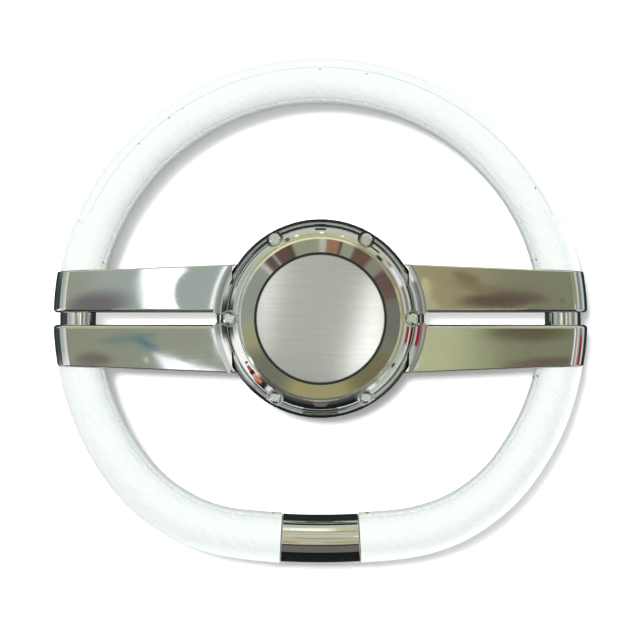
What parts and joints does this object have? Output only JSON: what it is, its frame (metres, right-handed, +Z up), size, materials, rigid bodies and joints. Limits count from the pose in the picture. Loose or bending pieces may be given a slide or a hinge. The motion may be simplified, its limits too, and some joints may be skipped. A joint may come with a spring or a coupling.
{
  "type": "boat steering wheel",
  "caption": "D-shaped boat steering wheel with a stitched white leather rim, slotted chrome spokes, a chrome hub bezel and a blank brushed centre disc.",
  "frame": {"origin": "centre of the mouth of the tapered shaft bore, at the rear face of the hub boss", "axes": "+Y along the shaft the way it leaves the wheel, so the face looks along -Y; +Z up with the rim's flat at the bottom; +X to the right as the helmsman sees it"},
  "size_m": [0.3544, 0.0526, 0.3367],
  "materials": {
    "white_leather": "fine grained, slightly satin",
    "chrome": "bright plated",
    "brushed_steel": "brushed level with the spokes",
    "screw_steel": "bright stainless",
    "steel": "zinc plated",
    "boss_aluminium": "turned",
    "black_plastic": "satin black moulding",
    "black_rubber": "matt",
    "foam": "skinned foam"
  },
  "bodies": {
    "root": {"rim_tube": "steel", "hub_spider": "steel", "upper_foam": "foam", "lower_foam": "foam", "upper_leather": "white_leather", "top_leather_panel": "white_leather", "right_lower_leather": "white_leather", "left_lower_leather": "white_leather", "bottom_sleeve": "chrome", "right_rim_sleeve": "chrome", "left_rim_sleeve": "chrome", "right_spoke_front": "chrome", "left_spoke_front": "chrome", "right_spoke_rear": "chrome", "left_spoke_rear": "chrome", "cover_screws": "screw_steel", "hub_bezel": "chrome", "bezel_screws": "screw_steel", "centre_disc": "brushed_steel", "cap_carrier": "black_plastic", "cap_seal": "black_rubber", "hub_boss": "boss_aluminium", "boss_bolts": "steel", "boss_washers": "steel", "rear_hub_cover": "black_plastic", "rear_cover_screws": "screw_steel"}
  },
  "joints": []
}
